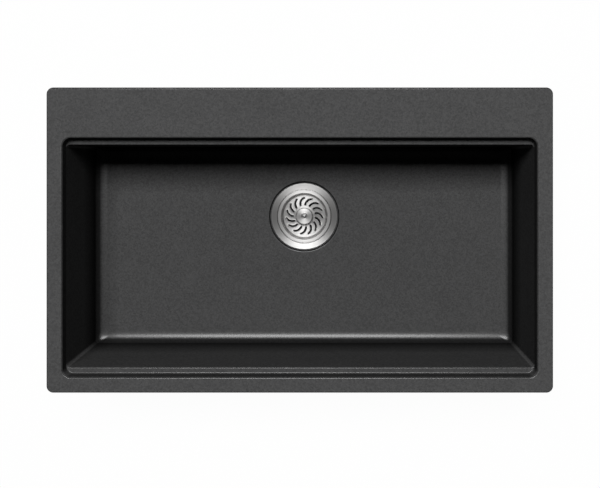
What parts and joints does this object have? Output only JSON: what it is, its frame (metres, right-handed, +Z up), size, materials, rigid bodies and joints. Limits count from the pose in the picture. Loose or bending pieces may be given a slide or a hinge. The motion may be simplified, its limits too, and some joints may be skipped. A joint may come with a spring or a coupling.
{
  "type": "kitchen sink",
  "caption": "Drop-in granite composite kitchen sink with a single large bowl, rear tap deck, accessory ledges, lift-out basket strainer and swing mounting clips.",
  "frame": {"origin": "centre of the rim's outline in the plane of the worktop's top, on the underside of the rim seal", "axes": "+X along the tap deck to the right, +Y from the bowl towards the deck, +Z up"},
  "size_m": [0.76, 0.458, 0.266],
  "materials": {
    "granite": "fine speckled, semi-matt",
    "foam": "closed-cell foam tape",
    "brushed_stainless": "circular brushed",
    "plain_stainless": "satin",
    "black_rubber": "moulded, matt",
    "fibre": "pressed fibre",
    "zinc_nut": "cast, zinc plated",
    "white_nylon": "moulded nylon",
    "brass_insert": "turned",
    "galvanised_steel": "zinc plated"
  },
  "bodies": {
    "sink": {"sink_basin": "granite", "rim_seal": "foam", "clip_inserts": "brass_insert", "clip_screws": "galvanised_steel", "clip_washers": "galvanised_steel", "strainer_body": "brushed_stainless", "outlet_pipe": "plain_stainless", "flange_seal": "black_rubber", "under_gasket": "black_rubber", "friction_washer": "fibre", "lock_nut": "zinc_nut", "socket_spider": "plain_stainless"},
    "post_tip": {"snap_tip": "white_nylon"},
    "strainer_basket": {"basket": "brushed_stainless", "lift_knob": "brushed_stainless", "basket_post": "plain_stainless", "stopper_plug": "black_rubber", "plug_washer": "plain_stainless", "post_nut": "plain_stainless"},
    "clip_front_1": {"clip_front_1": "galvanised_steel"},
    "clip_front_2": {"clip_front_2": "galvanised_steel"},
    "clip_front_3": {"clip_front_3": "galvanised_steel"},
    "clip_front_4": {"clip_front_4": "galvanised_steel"},
    "clip_rear_1": {"clip_rear_1": "galvanised_steel"},
    "clip_rear_2": {"clip_rear_2": "galvanised_steel"},
    "clip_rear_3": {"clip_rear_3": "galvanised_steel"},
    "clip_rear_4": {"clip_rear_4": "galvanised_steel"}
  },
  "joints": [
    {"name": "basket_lift", "type": "slide", "parent": "sink", "child": "post_tip", "axis": [0, 0, 1], "range_m": [0, 0.3]},
    {"name": "basket_turn", "type": "hinge", "parent": "post_tip", "child": "strainer_basket", "pos_m": [0, 0.022, -0.2], "axis": [0, 0, 1], "continuous": true},
    {"name": "clip_front_1_swing", "type": "hinge", "parent": "sink", "child": "clip_front_1", "pos_m": [-0.27, -0.2115, -0.0493], "axis": [0, 0, -1], "range_deg": [0, 180]},
    {"name": "clip_front_2_swing", "type": "hinge", "parent": "sink", "child": "clip_front_2", "pos_m": [-0.09, -0.2115, -0.0493], "axis": [0, 0, -1], "range_deg": [0, 180]},
    {"name": "clip_front_3_swing", "type": "hinge", "parent": "sink", "child": "clip_front_3", "pos_m": [0.09, -0.2115, -0.0493], "axis": [0, 0, -1], "range_deg": [0, 180]},
    {"name": "clip_front_4_swing", "type": "hinge", "parent": "sink", "child": "clip_front_4", "pos_m": [0.27, -0.2115, -0.0493], "axis": [0, 0, -1], "range_deg": [0, 180]},
    {"name": "clip_rear_1_swing", "type": "hinge", "parent": "sink", "child": "clip_rear_1", "pos_m": [-0.27, 0.2115, -0.0493], "axis": [0, 0, 1], "range_deg": [0, 180]},
    {"name": "clip_rear_2_swing", "type": "hinge", "parent": "sink", "child": "clip_rear_2", "pos_m": [-0.09, 0.2115, -0.0493], "axis": [0, 0, 1], "range_deg": [0, 180]},
    {"name": "clip_rear_3_swing", "type": "hinge", "parent": "sink", "child": "clip_rear_3", "pos_m": [0.09, 0.2115, -0.0493], "axis": [0, 0, 1], "range_deg": [0, 180]},
    {"name": "clip_rear_4_swing", "type": "hinge", "parent": "sink", "child": "clip_rear_4", "pos_m": [0.27, 0.2115, -0.0493], "axis": [0, 0, 1], "range_deg": [0, 180]}
  ]
}
